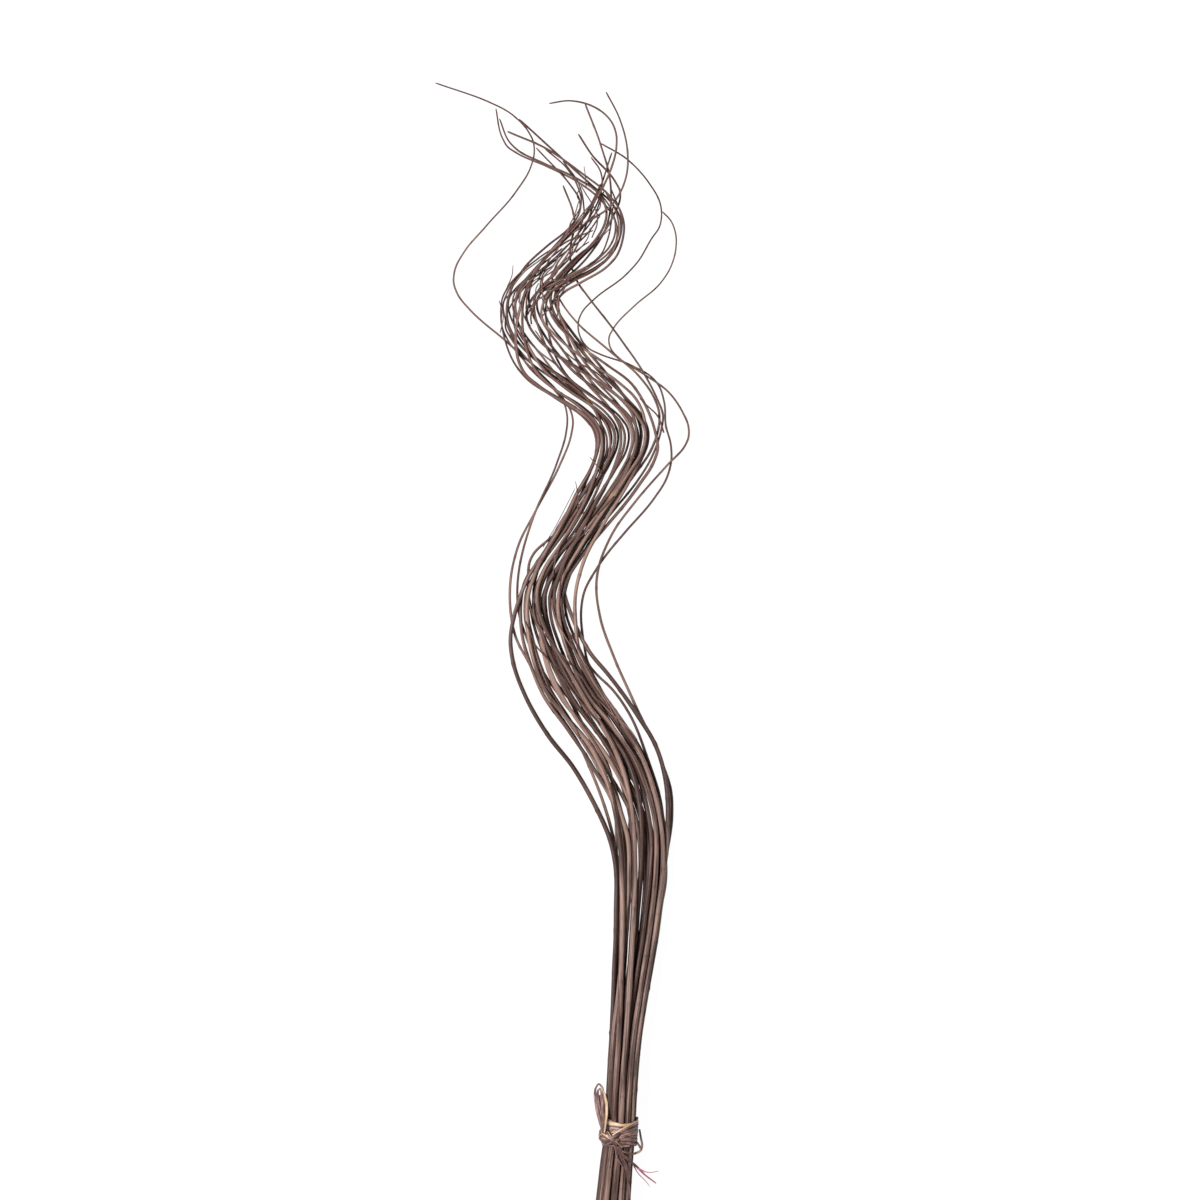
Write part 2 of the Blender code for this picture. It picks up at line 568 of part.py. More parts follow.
def set_origin(root):
    """Moves the bundle so that the middle of its underside is at the world's origin."""
    bpy.context.view_layer.update()
    corners = np.array([item.matrix_world @ v.co for item in root.children for v in item.data.vertices])
    low, high = corners.min(axis=0), corners.max(axis=0)
    root.location = (-(low[0] + high[0]) / 2, -(low[1] + high[1]) / 2, -low[2])


def main():
    clear_scene()
    root = bpy.data.objects.new("bundle", None)
    bpy.context.scene.collection.objects.link(root)
    bark = make_material("dyed_bark", TWIG_COLOUR, 0.6)
    raffia = make_material("dyed_raffia", RAFFIA_COLOUR, 0.65)
    twigs = make_twigs(bark, root)
    make_wraps(twigs, raffia, root)
    make_knot(twigs, raffia, root)
    for name, strand in RAFFIA_STRANDS.items():
        make_strand(name, strand, twigs, raffia, root)
    set_origin(root)


main()
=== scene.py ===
"""A bundle of long curly dyed twigs, tied near the cut ends with split raffia, lying on a pale floor."""
import math
import random

import bmesh
import bpy
import numpy as np
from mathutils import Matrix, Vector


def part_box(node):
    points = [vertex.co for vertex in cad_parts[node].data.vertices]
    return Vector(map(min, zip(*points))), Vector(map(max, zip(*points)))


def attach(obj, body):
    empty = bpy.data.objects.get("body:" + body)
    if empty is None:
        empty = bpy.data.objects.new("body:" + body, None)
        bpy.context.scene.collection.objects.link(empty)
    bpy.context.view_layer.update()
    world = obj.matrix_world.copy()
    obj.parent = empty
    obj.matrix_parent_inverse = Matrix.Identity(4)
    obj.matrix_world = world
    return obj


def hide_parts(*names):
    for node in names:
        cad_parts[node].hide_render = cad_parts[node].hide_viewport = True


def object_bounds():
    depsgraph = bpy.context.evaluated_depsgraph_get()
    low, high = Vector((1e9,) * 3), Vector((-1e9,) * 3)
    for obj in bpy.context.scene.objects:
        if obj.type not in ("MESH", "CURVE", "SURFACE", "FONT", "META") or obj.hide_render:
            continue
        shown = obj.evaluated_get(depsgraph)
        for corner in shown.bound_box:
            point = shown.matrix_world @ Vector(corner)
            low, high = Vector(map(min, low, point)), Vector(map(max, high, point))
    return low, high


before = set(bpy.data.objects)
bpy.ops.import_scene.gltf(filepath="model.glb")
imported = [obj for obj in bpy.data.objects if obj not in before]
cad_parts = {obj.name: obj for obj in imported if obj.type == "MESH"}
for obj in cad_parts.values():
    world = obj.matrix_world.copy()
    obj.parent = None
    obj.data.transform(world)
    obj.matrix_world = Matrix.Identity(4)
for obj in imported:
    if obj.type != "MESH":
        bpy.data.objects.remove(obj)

bpy.context.view_layer.update()
cad_low, cad_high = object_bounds()


# The view. The photograph looks straight at the bundle, and the bundle lies down here, so the camera hangs
# over it and looks down. The cut ends run out of the lower edge of the picture.
PICTURE_SIDE = 1.2
LOOK_HEIGHT = 0.020
LENS = 180.0
SENSOR = 36.0
EDGE_LEFT, EDGE_TOP = 434.9, 82.4
PICTURE_MIDDLE = 600
PIXEL = 0.001


def at_photo(px, py):
    """The place on the table of a point of the picture, which is 1200 units wide."""
    return cad_low.x + (px - EDGE_LEFT) * PIXEL, cad_high.y - (py - EDGE_TOP) * PIXEL


lens = bpy.data.cameras.new("camera")
lens.lens = LENS
lens.sensor_width = SENSOR
camera = bpy.data.objects.new("camera", lens)
camera.location = (*at_photo(PICTURE_MIDDLE, PICTURE_MIDDLE), LOOK_HEIGHT + PICTURE_SIDE * LENS / SENSOR)
bpy.context.scene.collection.objects.link(camera)
bpy.context.scene.camera = camera


# The studio. A pale seamless floor under the bundle, a large soft lamp on the left that puts the shine on
# the left side of every rod, a weaker one opposite, and an even white sky.
FLOOR_SIDE = 30.0
FLOOR_DROP = 0.0003
SKY_STRENGTH = 0.24
FLOOR_GLOW = 0.97


class Wire:
    """One value in a finish. Sums on it add the shader's own Math nodes."""

    def __init__(self, finish, socket):
        self.finish, self.socket = finish, socket

    def math(self, operation, *values):
        return self.finish.node("ShaderNodeMath", {"operation": operation}, dict(enumerate(values)))

    def __add__(self, other): return self.math("ADD", self, other)
    def __radd__(self, other): return self.math("ADD", other, self)
    def __sub__(self, other): return self.math("SUBTRACT", self, other)
    def __rsub__(self, other): return self.math("SUBTRACT", other, self)
    def __mul__(self, other): return self.math("MULTIPLY", self, other)
    def __rmul__(self, other): return self.math("MULTIPLY", other, self)

    def between(self, low, high):
        """0 below low, 1 above high, and a smooth step between them."""
        return self.finish.node("ShaderNodeMapRange", {"interpolation_type": "SMOOTHSTEP"},
                                {"Value": self, "From Min": low, "From Max": high})


class Finish:
    """A material for one kind of surface, with its Principled shader."""

    def __init__(self, name):
        self.material = bpy.data.materials.new(name)
        self.material.use_nodes = True
        self.tree = self.material.node_tree
        self.shader = self.tree.nodes["Principled BSDF"]

    def node(self, kind, settings, sockets, out=0):
        """Adds a node: its settings first, then the values or links of its sockets. Returns one output."""
        made = self.tree.nodes.new(kind)
        for name, value in settings.items():
            setattr(made, name, value)
        for name, value in sockets.items():
            self.plug(made.inputs[name], value)
        return Wire(self, made.outputs[out])

    def plug(self, socket, value):
        if isinstance(value, Wire):
            self.tree.links.new(value.socket, socket)
        elif isinstance(value, tuple) and socket.type == "RGBA":
            socket.default_value = (*value, 1.0)
        else:
            socket.default_value = value

    def mark(self, name):
        """A value that the mesh carries at its corners."""
        return self.node("ShaderNodeAttribute", {"attribute_name": name}, {}, out="Fac")

    def mix(self, share, first, second):
        return self.node("ShaderNodeMix", {"data_type": "RGBA"}, {0: share, 6: first, 7: second}, out=2)

    def noise(self, spot, scale, detail=2.0, rough=0.5):
        return self.node("ShaderNodeTexNoise", {}, {"Vector": spot, "Scale": scale, "Detail": detail,
                                                    "Roughness": rough})

    def point(self, x, y, z):
        return self.node("ShaderNodeCombineXYZ", {}, {"X": x, "Y": y, "Z": z})

    def dress(self, **sockets):
        """Sets the shader's sockets, with _ for the spaces in their names."""
        for name, value in sockets.items():
            self.plug(self.shader.inputs[name.replace("_", " ")], value)


floor_finish = Finish("pale_floor")
floor_finish.dress(Base_Color=(0.06, 0.06, 0.06), Roughness=0.9, Specular_IOR_Level=0.1,
                   Emission_Color=(1.0, 1.0, 1.0), Emission_Strength=FLOOR_GLOW)
studio = bmesh.new()
bmesh.ops.create_grid(studio, x_segments=1, y_segments=1, size=FLOOR_SIDE / 2)
floor_mesh = bpy.data.meshes.new("floor")
studio.to_mesh(floor_mesh)
studio.free()
floor_mesh.materials.append(floor_finish.material)
floor = bpy.data.objects.new("floor", floor_mesh)
floor.location.z = -FLOOR_DROP
bpy.context.scene.collection.objects.link(floor)

sky = bpy.data.worlds.new("studio")
sky.use_nodes = True
sky.node_tree.nodes["Background"].inputs["Color"].default_value = (1.0, 1.0, 1.0, 1.0)
sky.node_tree.nodes["Background"].inputs["Strength"].default_value = SKY_STRENGTH
bpy.context.scene.world = sky
bpy.context.scene.view_settings.view_transform = "Standard"

for lamp_name, spot, side, power in (("lamp_left", (-1.3, 0.4, 2.3), 0.9, 130.0),
                                     ("lamp_right", (2.2, -0.4, 2.4), 2.0, 14.0)):
    lamp = bpy.data.lights.new(lamp_name, "AREA")
    lamp.shape, lamp.size, lamp.energy = "SQUARE", side, power
    lamp_holder = bpy.data.objects.new(lamp_name, lamp)
    lamp_holder.location = spot
    lamp_holder.rotation_euler = lamp_holder.location.to_track_quat("Z", "Y").to_euler()
    bpy.context.scene.collection.objects.link(lamp_holder)


# The twigs. Each is one long springy shoot of a curly shrub, cut, dried and dyed a dusty purple brown. Its
# bark is thin and drawn into fine lengthwise wrinkles, with a low ring and a bud scar at every joint.
TWIG_COUNT = 28
CAD_SWELL = 1.05
CAD_SIDES, CAP_EDGES = 6, 4
TWIG_SIDES = 20
TWIG_STEP = 0.0025
JOINT_SPACING = (0.035, 0.095)
JOINT_LENGTH, JOINT_SWELL = 0.0014, 0.07
SCAR_LENGTH, SCAR_SWELL = 0.0022, 0.16
TIP_LENGTH = 0.004
THINNEST, STOUT_TIP, STOUT_REACH = 0.0008, 0.0010, 0.005
WORN_LENGTH = 0.004
WOBBLE, STRAIGHT_LENGTH = 0.00035, 0.2
WOBBLE_SPACING, RIDGE_SPACING, SWELL_SPACING, TONE_SPACING = 0.03, 0.03, 0.018, 0.06
THICK_RADIUS, THIN_RADIUS = 0.0024, 0.0008
RIM_SHARE, RIM_DEPTH = 0.12, 0.0001
WOOD_SHARE, PITH_DEPTH = 0.62, 0.0003
BARK_DARK = (0.024, 0.010, 0.008)
BARK_MID = (0.088, 0.045, 0.036)
BARK_PALE = (0.290, 0.185, 0.152)
BARK_THIN = (0.062, 0.022, 0.018)
BARK_TAN = (0.32, 0.20, 0.12)
CUT_WOOD = (0.56, 0.39, 0.27)
PITH = (0.17, 0.095, 0.065)


def rings_of(node):
    """Middles and half widths of the rings of a CAD tube, from one of its ends to the other."""
    tube = bmesh.new()
    tube.from_mesh(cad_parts[node].data)
    bmesh.ops.remove_doubles(tube, verts=tube.verts, dist=1e-6)
    tube.verts.index_update()

    def spread_from(first):
        rings, seen = [sorted(first, key=lambda v: v.index)], set(first)
        while rings[-1]:
            reached = {edge.other_vert(v) for v in rings[-1] for edge in v.link_edges} - seen
            seen |= reached
            rings.append(sorted(reached, key=lambda v: v.index))
        return rings[:-1]

    free = [v for v in tube.verts if len(v.link_edges) == CAP_EDGES]
    free = sorted(free, key=lambda v: (v.co - free[0].co).length)[:CAD_SIDES // 2]
    end = {v for v in tube.verts if sum(edge.other_vert(v) in free for edge in v.link_edges) > 1} | set(free)
    rings = np.array([[v.co for v in ring] for ring in spread_from(end)])
    tube.free()
    middles = rings.mean(axis=1)
    return middles, np.linalg.norm(rings - middles[:, None], axis=2).max(axis=1)


def smooth_run(knots, step):
    """Evenly spaced points of a smooth curve through the knots. Columns past the third go along."""
    lengths = np.linalg.norm(np.diff(knots[:, :3], axis=0), axis=1)
    places = np.concatenate(([0.0], np.cumsum(lengths)))
    slopes = np.diff(knots, axis=0) / lengths[:, None]
    shares = lengths[1:, None] / (lengths[1:] + lengths[:-1])[:, None]
    bends = np.vstack((slopes[:1], slopes[:-1] * shares + slopes[1:] * (1 - shares), slopes[-1:]))
    run = np.linspace(0, places[-1], max(round(places[-1] / step), 3))
    k = np.clip(np.searchsorted(places, run, side="right") - 1, 0, len(lengths) - 1)
    span = lengths[k][:, None]
    t = (run - places[k])[:, None] / span
    spots = (knots[k] * (1 + 2 * t) * (1 - t) ** 2 + bends[k] * span * t * (1 - t) ** 2
             + knots[k + 1] * t * t * (3 - 2 * t) + bends[k + 1] * span * t * t * (t - 1))
    return spots, run


def drifting(chance, run, spacing):
    """A value from -1 to 1 that drifts along a stem, with a new one about every spacing."""
    count = int(run[-1] / spacing) + 3
    values = np.array([chance.uniform(-1, 1) for _ in range(count)])
    place = run / spacing
    k = place.astype(int)
    t = place - k
    t = t * t * (3 - 2 * t)
    return values[k] * (1 - t) + values[k + 1] * t


def sweep(body, path, facing, sideways, upward, marks):
    """Rolls a flat grid into a closed tube round a path. Facing is the way its upper side looks, and
    sideways and upward are the outline of each ring, whose last corner meets its first. Marks are the
    values that the finish reads, and the mark shift moves its pattern along. Returns the end faces."""
    rings, corners = sideways.shape
    heading = np.gradient(path, axis=0)
    heading /= np.linalg.norm(heading, axis=1)[:, None]
    side = np.cross(heading, facing)
    side /= np.linalg.norm(side, axis=1)[:, None]
    rise = np.cross(side, heading)
    spots = path[:, None] + side[:, None] * sideways[..., None] + rise[:, None] * upward[..., None]
    run = np.concatenate(([0.0], np.cumsum(np.linalg.norm(np.diff(path, axis=0), axis=1))))
    others = {name: values for name, values in marks.items() if name != "shift"}
    marks = {"run": marks["shift"] + run[:, None], **others}
    layers = [(body.verts.layers.float.get(name) or body.verts.layers.float.new(name),
               np.broadcast_to(values, (rings, corners))) for name, values in marks.items()]
    strip = bmesh.ops.create_grid(body, x_segments=corners - 1, y_segments=rings - 1, size=0.5,
                                  calc_uvs=True)["verts"]
    for corner in strip:
        place = (round((corner.co.y + 0.5) * (rings - 1)), round((corner.co.x + 0.5) * (corners - 1)))
        corner.co = spots[place]
        for layer, values in layers:
            corner[layer] = values[place]
    for face in {face for corner in strip for face in corner.link_faces}:
        face.smooth = True
    seam = [corner for corner in strip if len(corner.link_edges) < 4]
    bmesh.ops.remove_doubles(body, verts=seam, dist=1e-7)
    rims = [edge for edge in body.edges if edge.is_boundary]
    return bmesh.ops.holes_fill(body, edges=rims, sides=0)["faces"]


def finished(name, body, materials, slot_name, *nodes):
    """Makes a piece of a mesh, in place of the CAD nodes that it stands for."""
    bmesh.ops.recalc_face_normals(body, faces=body.faces)
    mesh = bpy.data.meshes.new(name)
    body.to_mesh(mesh)
    body.free()
    for material in materials:
        mesh.materials.append(material)
    piece = bpy.data.objects.new(name, mesh)
    bpy.context.scene.collection.objects.link(piece)
    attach(piece, "root")
    if nodes:
        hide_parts(*nodes)
    return piece


bark = Finish("dyed_bark")
turn = bark.node("ShaderNodeSeparateXYZ", {}, {0: bark.node("ShaderNodeUVMap", {"uv_map": "strip"}, {})}) \
    * (2 * math.pi)
run_mark = bark.mark("run")
east, north = turn.math("COSINE", turn), turn.math("SINE", turn)
streak = bark.noise(bark.point(east, north, run_mark * 9.0), 1.15, 2.0, 0.55)
wrinkle = bark.noise(bark.point(east, north, run_mark * 10.0), 2.5, 3.0, 0.6)
fibre = bark.noise(bark.point(east, north, run_mark * 7.0), 5.0, 2.0, 0.6)
patch = bark.noise(bark.point(east * 0.5, north * 0.5, run_mark * 22.0), 1.0, 2.0, 0.5)
speck = bark.noise(bark.point(east * 2.0, north * 2.0, run_mark * 420.0), 3.0, 1.0, 0.5)
tone = bark.mark("tone")
joint = bark.mark("joint")
thin = bark.mark("thin")
worn = bark.mark("worn")
shade = (wrinkle * 0.3 - tone * 0.45).between(0.0, 0.75)
ground = bark.mix((wrinkle * 0.45 + streak * 0.55).between(0.36, 0.54), BARK_DARK, BARK_MID)
pale_share = (wrinkle * 0.3 + streak * 0.4 + patch * 0.3 + tone * 0.11).between(0.46, 0.64)
ground = bark.mix(pale_share * 0.85, ground, BARK_PALE)
ground = bark.mix(fibre.between(0.52, 0.62) * 0.55, ground, BARK_DARK)
ground = bark.mix((1.0 - fibre).between(0.56, 0.66) * 0.40, ground, BARK_PALE)
ground = bark.mix(shade * 0.65, ground, BARK_DARK)
ground = bark.mix(thin.between(0.05, 0.45) * 0.17, ground, BARK_PALE)
ground = bark.mix(thin * thin * 0.85, ground, BARK_THIN)
ground = bark.mix((patch * 0.7 + fibre * 0.3 + tone * 0.05).between(0.60, 0.70) * 0.35, ground, BARK_TAN)
ground = bark.mix(joint * 0.55, ground, BARK_DARK)
ground = bark.mix(speck.between(0.66, 0.74) * 0.35, ground, BARK_PALE)
ground = bark.mix(worn * wrinkle.between(0.30, 0.60) * 0.7, ground, BARK_TAN)
relief = streak * 0.35 + wrinkle * 0.4 + fibre * 0.25
bark_bump = bark.node("ShaderNodeBump", {}, {"Strength": 0.85, "Distance": 0.0010, "Height": relief})
bark.dress(Base_Color=ground, Roughness=0.56 - wrinkle * 0.22 + joint * 0.1, Normal=bark_bump,
           Specular_IOR_Level=0.22)

cut_wood = Finish("cut_wood")
grain = cut_wood.noise(cut_wood.node("ShaderNodeTexCoord", {}, {}, out="Object"), 2600.0, 2.0)
heart = cut_wood.mark("pith")
wood = cut_wood.mix(grain.between(0.35, 0.7) * 0.6, CUT_WOOD, BARK_TAN)
wood = cut_wood.mix(heart, wood, PITH)
cut_wood.dress(Base_Color=wood, Roughness=0.85)

around = np.linspace(0, 2 * math.pi, TWIG_SIDES + 1) - math.pi / 2
worn_spots = [at_photo(px, py) for px, py in ((588, 352), (634, 367), (672, 388), (590, 402), (611, 495))]
stout_tips = [at_photo(px, py) for px, py in ((585, 103), (506, 131), (563, 185), (577, 135), (519, 119))]
lying = []
for number in range(1, TWIG_COUNT + 1):
    node = f"twig_{number:02d}"
    chance = random.Random(node)
    middles, reaches = rings_of(node)
    knots = np.column_stack((middles, reaches / CAD_SWELL))
    if knots[0, 1] > knots[-1, 1]:
        knots = knots[::-1]
    path, run = smooth_run(knots, TWIG_STEP)
    stout = min(np.hypot(path[-1, 0] - x, path[-1, 1] - y) for x, y in stout_tips) < STOUT_REACH
    path, radius = path[:, :3], np.maximum(path[:, 3], STOUT_TIP if stout else THINNEST)
    radius *= np.clip((run[-1] - run) / TIP_LENGTH, 0.0, 1.0) ** 0.5 * 0.4 + 0.6
    steady = np.clip(run / STRAIGHT_LENGTH - 1, 0, 1)
    path[:, 0] += drifting(chance, run, WOBBLE_SPACING) * WOBBLE * steady
    path[:, 1] += drifting(chance, run, WOBBLE_SPACING) * WOBBLE * steady
    path[:, 2] = np.maximum(path[:, 2], radius)

    joints = []
    place = chance.uniform(*JOINT_SPACING)
    while place < run[-1] - TIP_LENGTH:
        joints.append((place, len(joints) * math.pi + chance.uniform(-0.7, 0.7)))
        place += chance.uniform(*JOINT_SPACING)
    ring = np.zeros(len(run))
    scar = np.zeros((len(run), len(around)))
    for place, turned in joints:
        swell = np.exp(-((run - place) / JOINT_LENGTH) ** 2)
        ring += swell
        facing = np.cos(around - turned)
        scar += np.exp(-((run - place) / SCAR_LENGTH) ** 2)[:, None] * np.clip(facing, 0, 1)[None] ** 6
    twist = chance.uniform(-9, 9) * run[:, None] + chance.uniform(0, 6)
    ridge = 1 + 0.6 * drifting(chance, run, RIDGE_SPACING)[:, None]
    flutes = (0.045 * np.sin(3 * around + twist) + 0.035 * np.sin(5 * around - 2 * twist)
              + 0.026 * ridge * np.sin(8 * around + twist)
              + 0.035 * drifting(chance, run, SWELL_SPACING)[:, None])
    girth = radius[:, None] * (1 + flutes + JOINT_SWELL * ring[:, None] + SCAR_SWELL * scar)
    lying.append(np.column_stack((path, radius)))
    body = bmesh.new()
    body.loops.layers.uv.new("strip")
    pith = body.verts.layers.float.new("pith")
    thinness = np.clip((THICK_RADIUS - radius) / (THICK_RADIUS - THIN_RADIUS), 0, 1)
    marks = {"shift": number * 3.7, "joint": np.clip(ring[:, None] * 0.6 + scar, 0, 1),
             "thin": thinness[:, None],
             "tone": chance.uniform(-1, 1) + 0.8 * drifting(chance, run, TONE_SPACING)[:, None],
             "worn": sum(np.exp(-np.hypot(path[:, 0] - x, path[:, 1] - y) ** 2 / WORN_LENGTH ** 2)
                         for x, y in worn_spots)[:, None]}
    ends = sweep(body, path, np.array([0.0, 0.0, 1.0]), girth * np.cos(around), girth * np.sin(around), marks)
    cut = min(ends, key=lambda face: face.calc_center_median().y)
    butt = radius[0]
    for face in ends:
        face.smooth = False
    cut.material_index = 1
    bmesh.ops.inset_individual(body, faces=[cut], thickness=butt * RIM_SHARE, depth=-RIM_DEPTH)
    bmesh.ops.inset_individual(body, faces=[cut], thickness=butt * WOOD_SHARE, depth=-PITH_DEPTH)
    for corner in cut.verts:
        corner[pith] = 1.0
    finished(f"curly_{node}", body, (bark.material, cut_wood.material), "dyed_bark", node)


# The side shoots. Where the twigs turn thin, some of them fork into finer shoots, which run over the twigs
# around them. Stretches of other fine twigs that show on top are laid the same way, and there are a few
# loose hairs of bark.
SHOOT_SIDES = 8
SHOOT_STEP = 0.002
SHOOT_TIP, FORK_LENGTH = 0.003, 0.006
SWELL_STEP = 0.01
REACH_OVER = 0.0016
SPAN = 3
# each shoot's points in the picture from tip to root, and its half widths at the tip and at the root
SHOOTS = (
    (((598, 190), (590, 206), (583, 218), (580, 228), (575, 240), (571, 256)), 0.70, 0.60),
    (((581, 185), (586, 194), (592, 204), (597, 214), (597, 224), (592, 237)), 0.60, 0.70),
    (((580, 187), (577, 195), (581, 204), (579, 213), (574, 222)), 0.60, 0.70),
    (((613, 215), (616, 225), (617.5, 238), (613, 252)), 0.50, 0.65),
    (((610, 228), (601, 237), (590, 247), (580, 256), (567, 268)), 0.50, 0.80),
    (((590, 228), (588, 237), (583, 245), (576, 252)), 0.50, 0.60),
    (((570, 232), (556, 247), (540, 260), (524, 272), (514, 284)), 0.60, 0.80),
    (((562, 250), (546, 266), (532, 276), (521, 288), (519, 302)), 0.70, 0.90),
    (((566, 259), (551, 272), (538, 280), (528, 292), (526, 308)), 0.70, 0.90),
    (((573, 262), (558, 277), (545, 285), (535, 297), (533, 312)), 0.80, 1.00),
    (((570, 277), (564, 289), (551, 306), (541, 317)), 0.60, 0.80),
    (((597, 196), (592.5, 202.5), (584.5, 211.5), (576, 222.5), (570, 229.5), (566, 235),
      (562, 240.5), (557, 250), (550, 258.7), (545.3, 266.7), (541.5, 272.5), (538, 279)), 0.55, 0.85),
    (((600, 199), (600.5, 203), (600, 207), (597.5, 211), (593.5, 215.5), (589, 219), (584, 224),
      (580, 229.5), (578, 236), (575, 242), (571, 248), (567, 255), (562, 262), (556, 270),
      (550, 278)), 0.60, 1.00),
    (((579.5, 199), (577.5, 205), (575.5, 212), (573.5, 217.5), (570.5, 223), (569, 228), (566.5, 233.5),
      (563, 239)), 0.55, 0.80),
    (((580.5, 201), (579.5, 208), (577, 213), (574, 218)), 0.50, 0.60),
    (((583, 221), (581, 226), (579, 231), (576.5, 237.5), (573.5, 243.5), (571, 248),
      (570, 253)), 0.60, 0.90),
    (((566, 246), (560, 254), (556, 261), (552, 267), (547, 272), (543, 278), (542, 284), (542, 291),
      (544, 299), (546, 305), (550, 312), (555, 320)), 0.60, 0.90),
    (((590, 246), (583.5, 253.5), (577, 260), (572.5, 265), (567.5, 270), (561, 278), (557, 282),
      (552.5, 286), (547, 293), (541, 297.5), (535, 301), (530, 309), (527.5, 314)), 0.55, 0.80),
    (((549, 267), (543, 271), (538.5, 275), (532, 279), (525.5, 285), (521.5, 290), (520, 296),
      (519.5, 302), (521.5, 309), (523, 316)), 0.55, 0.80),
    (((596.5, 240), (590, 246), (583, 250.7), (576.7, 256), (570, 262), (563.3, 269.3),
      (556, 277.3)), 0.60, 0.90),
    (((589.3, 241.3), (582, 246), (576.7, 250), (570, 255.3), (563.3, 262), (559.3, 267.3), (555.3, 274),
      (550, 278.7), (544.7, 283.3), (543.3, 288)), 0.60, 0.90),
    (((570, 242.7), (564.7, 247.3), (559.3, 253.3), (556.7, 258.7), (553.3, 264.7), (547.3, 268.7),
      (543.3, 273.3), (541.3, 278.7), (540, 285.3), (540, 290.7), (539.3, 296.7),
      (535.3, 303.3), (532, 310), (530.7, 316.7), (531.3, 323.3)), 0.60, 0.90),
    (((539.3, 277.3), (533.3, 281.3), (528, 288), (524.7, 294.7), (523.3, 300), (522.7, 306.7),
      (523.3, 313.3), (526, 320), (530, 325.3)), 0.55, 0.80),
    (((538.7, 282.7), (536, 288), (535.3, 293.3), (532, 300), (528, 305.3), (526, 310.7),
      (526, 316.7)), 0.55, 0.80),
    (((552.7, 270.7), (550, 277.3), (547.3, 283.3), (544.7, 288)), 0.60, 0.80),
    (((600, 256.7), (590, 263.3), (583.3, 269.3), (576.7, 272.7), (568.7, 277.3), (560.7, 280), (552.7, 284),
      (546, 286.7)), 0.55, 0.80),
    (((570, 279.3), (563.3, 280.7), (556.7, 284), (550, 286.7), (546, 290)), 0.50, 0.70),
    (((567.3, 284), (562, 286.7), (556.7, 289.3), (550, 292), (548, 293.3)), 0.45, 0.60),
    (((541, 297), (548, 307), (556, 320), (566, 332), (580, 345)), 0.60, 0.90),
    (((558, 292), (559, 303), (557, 316)), 0.60, 0.70),
    (((513, 265), (512, 275), (507, 287)), 0.45, 0.60),
    (((584, 166), (585, 173), (586, 186)), 0.40, 0.50),
    (((499, 300), (503, 316), (500, 332)), 0.50, 0.60),
    (((516, 330), (527, 340), (540, 352), (556, 364)), 0.60, 0.90),
    (((535, 330), (546, 345), (562, 357), (580, 368)), 0.60, 0.90),
    (((560, 347), (578, 362), (597, 373), (612, 388)), 0.60, 0.90),
    (((640, 398), (646, 404), (658, 416), (664, 432)), 0.60, 0.90),
    (((590, 457), (594, 462), (598, 467), (603, 476)), 0.45, 0.70),
    (((575.5, 481), (577, 490), (578.5, 500), (578, 512)), 0.40, 0.50),
    (((575, 488), (566, 506), (555, 527), (543, 547)), 0.36, 0.40),
    (((529, 602), (534, 619), (541, 629), (552, 644), (562, 655), (572, 666), (581, 677),
      (597, 699)), 0.60, 0.80),
    (((525, 621), (530, 632), (536, 646), (544, 655), (554, 667), (562, 677), (579, 700),
      (602, 727)), 0.70, 0.90),
    (((551, 598), (554, 615), (560, 627), (567, 640), (577, 655), (585, 667), (599, 690), (612, 712),
      (620, 727)), 0.60, 0.80),
    (((545, 685), (556, 699), (565, 714), (575, 727), (581, 740)), 0.50, 0.60),
    (((592, 695), (600, 702), (612, 714), (622, 722), (631, 731), (637, 740)), 0.50, 0.70),
    (((586, 510), (577, 520), (571, 530), (562, 542), (557, 554), (554, 567), (553, 580)), 0.50, 0.70),
    (((587, 531), (577, 541), (570, 552), (564, 565), (561, 579), (560, 597), (561, 606),
      (565, 625), (574, 640), (580, 652), (586, 664)), 0.60, 0.80),
    (((614, 496), (605, 506), (597, 515)), 0.60, 0.80),
)


def along(heights, pick):
    """Takes each height together with the few before and after it, and picks one value of them."""
    padded = np.pad(heights, SPAN, mode="edge")
    return pick([padded[k:k + len(heights)] for k in range(2 * SPAN + 1)], axis=0)


def over_twigs(x, y, half):
    """Height at which a shoot lies on the twigs under it, or nothing where there are none."""
    near = np.hypot(lying[:, 0] - x, lying[:, 1] - y) < lying[:, 3] + half + REACH_OVER
    return (lying[near, 2] + lying[near, 3]).max() + half if near.any() else np.nan


